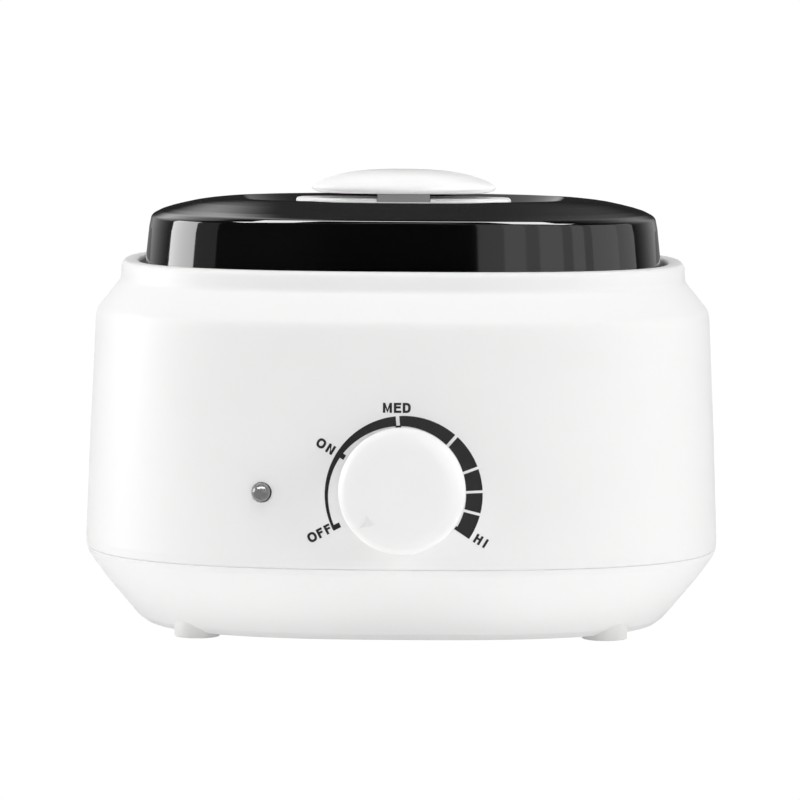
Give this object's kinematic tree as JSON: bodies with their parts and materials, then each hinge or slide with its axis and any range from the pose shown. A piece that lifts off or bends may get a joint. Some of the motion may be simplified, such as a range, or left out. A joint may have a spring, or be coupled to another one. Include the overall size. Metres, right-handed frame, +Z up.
{
  "type": "wax warmer pot",
  "caption": "Squared-round salon wax warmer with a white housing, black lift-off lid, removable pot with bail, and a front dial thermostat.",
  "frame": {"origin": "centre of the footprint, on the plane the four feet stand on", "axes": "+Z up, the dial and lamp face -Y, the mains lead leaves towards +Y, +X is to the right seen from the front"},
  "size_m": [0.1994, 0.2271, 0.1429],
  "materials": {
    "white_abs": "satin",
    "white_rubber": "matte",
    "well_aluminium": "drawn, satin",
    "pot_aluminium": "drawn, satin",
    "silicone": "matte",
    "heater_foil": "satin",
    "phenolic": "matte",
    "brass": "satin",
    "smoked_lens": "polished",
    "black_plastic": "matte",
    "tinned_wire": "satin",
    "nylon": "matte",
    "wire_sleeve": "satin",
    "white_pvc": "satin",
    "strap": "woven",
    "nickel": "polished",
    "black_gloss": "polished",
    "grey_plastic": "satin",
    "steel": "satin"
  },
  "bodies": {
    "housing": {"upper_housing": "white_abs", "base_shell": "white_abs", "rubber_feet": "white_rubber", "base_screws": "steel", "heating_well": "well_aluminium", "well_gasket": "silicone", "well_screws": "steel", "heater_band": "heater_foil", "band_screw": "steel", "band_nut": "steel", "thermostat_bracket": "steel", "thermostat_body": "phenolic", "thermostat_screws": "steel", "thermostat_tabs": "brass", "indicator_lens": "smoked_lens", "lamp_retainer": "black_plastic", "lamp_leads": "tinned_wire", "thermal_fuse": "tinned_wire", "fuse_clip": "steel", "terminal_block": "nylon", "terminal_screws": "brass", "lead_wires": "wire_sleeve", "cord_boot": "white_pvc", "power_cord": "white_pvc", "cord_tie": "strap", "plug_body": "white_pvc", "plug_pins": "nickel"},
    "pot": {"inner_pot": "pot_aluminium", "bail_ears": "steel", "ear_rivets": "steel"},
    "bail": {"bail_handle": "steel"},
    "lid": {"lid_shell": "black_gloss", "handle_base": "white_abs", "handle_stem": "grey_plastic", "handle_cap": "white_abs", "handle_screw": "steel", "handle_washer": "steel"},
    "dial": {"control_knob": "white_abs", "thermostat_shaft": "steel"}
  },
  "joints": [
    {"name": "pot_lift", "type": "slide", "parent": "housing", "child": "pot", "axis": [0, 0, 1], "range_m": [0, 0.1]},
    {"name": "lid_lift", "type": "slide", "parent": "pot", "child": "lid", "axis": [0, 0, 1], "range_m": [0, 0.12]},
    {"name": "bail_swing", "type": "hinge", "parent": "pot", "child": "bail", "pos_m": [0, 0, 0.1128], "axis": [-1, 0, 0], "range_deg": [0, 90.5]},
    {"name": "dial_turn", "type": "hinge", "parent": "housing", "child": "dial", "pos_m": [0, -0.083, 0.0501], "axis": [0, 1, 0], "range_deg": [0, 255]}
  ],
  "couplings": [
    {"joint": "bail_swing", "follows": "lid_lift", "rad_per_m": 13.09}
  ]
}
